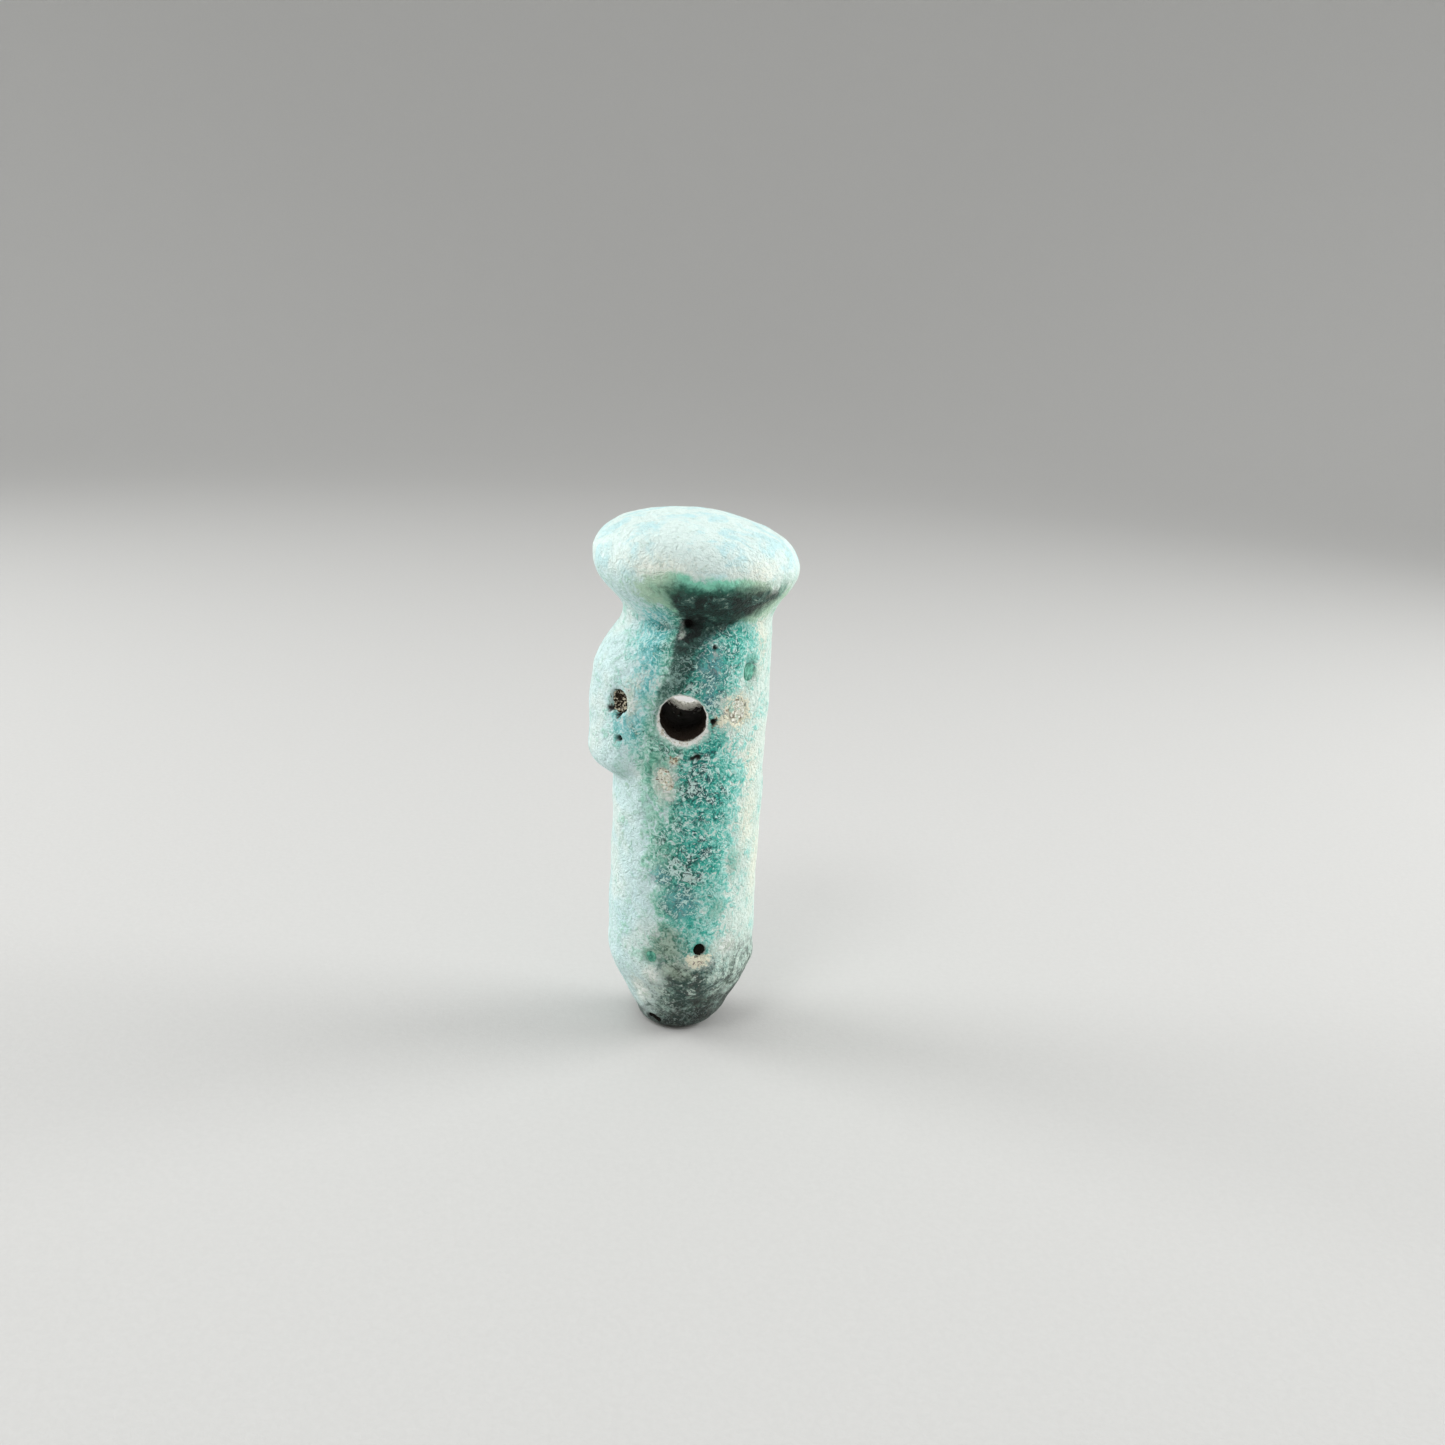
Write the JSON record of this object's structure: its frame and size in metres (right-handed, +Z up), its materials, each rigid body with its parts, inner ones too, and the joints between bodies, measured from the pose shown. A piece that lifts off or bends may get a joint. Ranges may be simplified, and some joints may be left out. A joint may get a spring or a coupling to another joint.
{
  "type": "papyrus sceptre amulet",
  "caption": "Small turquoise glazed papyrus column amulet with domed umbel, tapered foot and a pierced suspension lug on one flank.",
  "frame": {"origin": "centre of the flat under the foot", "axes": "+Z up the column to the umbel, -Y out of the side that the stringing hole is seen from, -X out of the suspension lug"},
  "size_m": [0.0086, 0.0086, 0.0228],
  "materials": {
    "quartz_paste": "matte",
    "turquoise_glaze": "satin",
    "pooled_glaze": "gloss",
    "soil": "matte",
    "crust": "matte"
  },
  "bodies": {
    "root": {"column_core": "quartz_paste", "suspension_lug": "quartz_paste", "glaze_coat": "turquoise_glaze", "glaze_pools": "pooled_glaze", "pit_soil": "soil", "buff_crust": "crust"}
  },
  "joints": []
}
